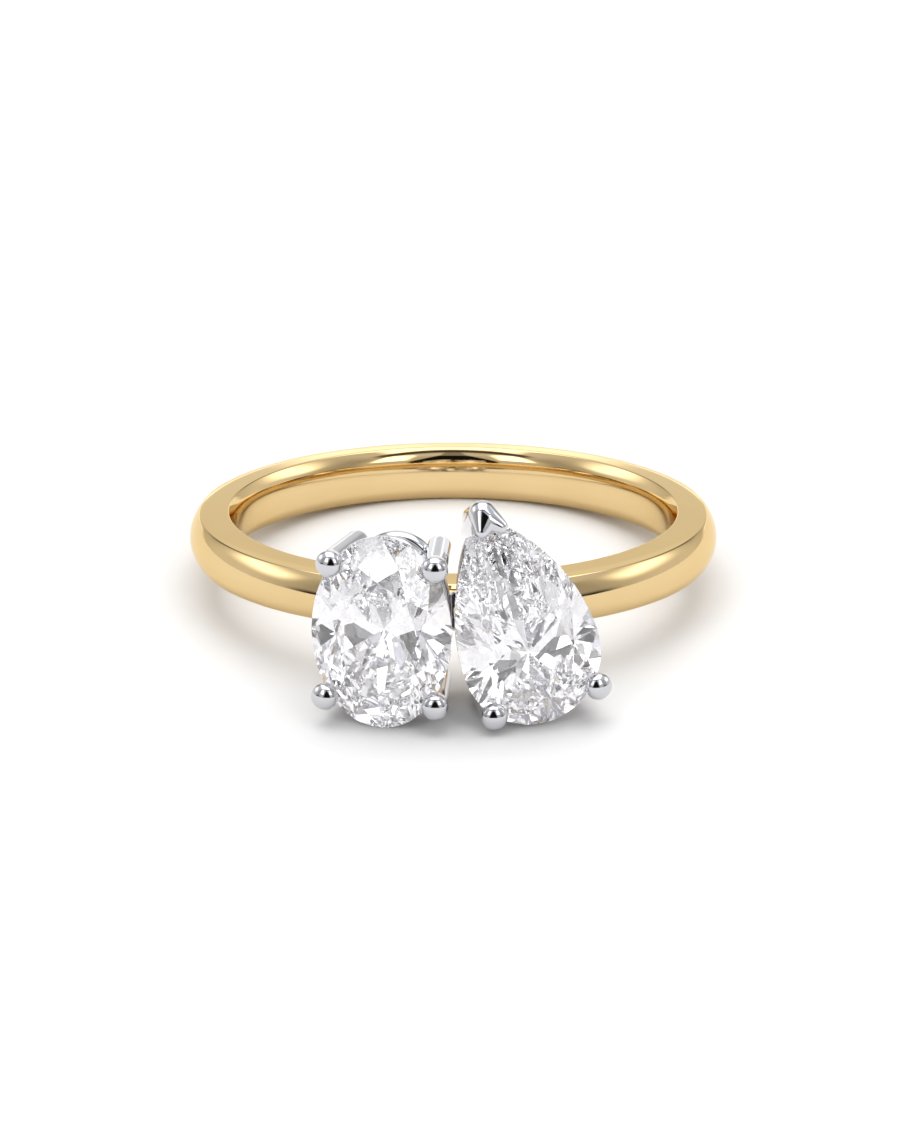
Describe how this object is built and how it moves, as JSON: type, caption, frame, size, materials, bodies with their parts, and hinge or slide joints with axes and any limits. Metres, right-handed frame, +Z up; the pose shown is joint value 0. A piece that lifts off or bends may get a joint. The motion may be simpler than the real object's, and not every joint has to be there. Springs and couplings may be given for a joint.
{
  "type": "toi et moi ring",
  "caption": "Toi et moi ring: a plain domed band carrying an oval and a pear-shaped brilliant side by side in open claw heads.",
  "frame": {"origin": "middle of the ring's footprint, on the ground it lies on", "axes": "+Z up from the ground, -Y towards the stones, +Y towards the far side of the hoop"},
  "size_m": [0.0206, 0.0252, 0.0094],
  "materials": {
    "yellow_gold": "polished",
    "white_metal": "polished",
    "stone": "faceted and polished"
  },
  "bodies": {
    "root": {"band": "yellow_gold", "oval_head": "white_metal", "oval_stone": "stone", "pear_head": "white_metal", "pear_stone": "stone"}
  },
  "joints": []
}
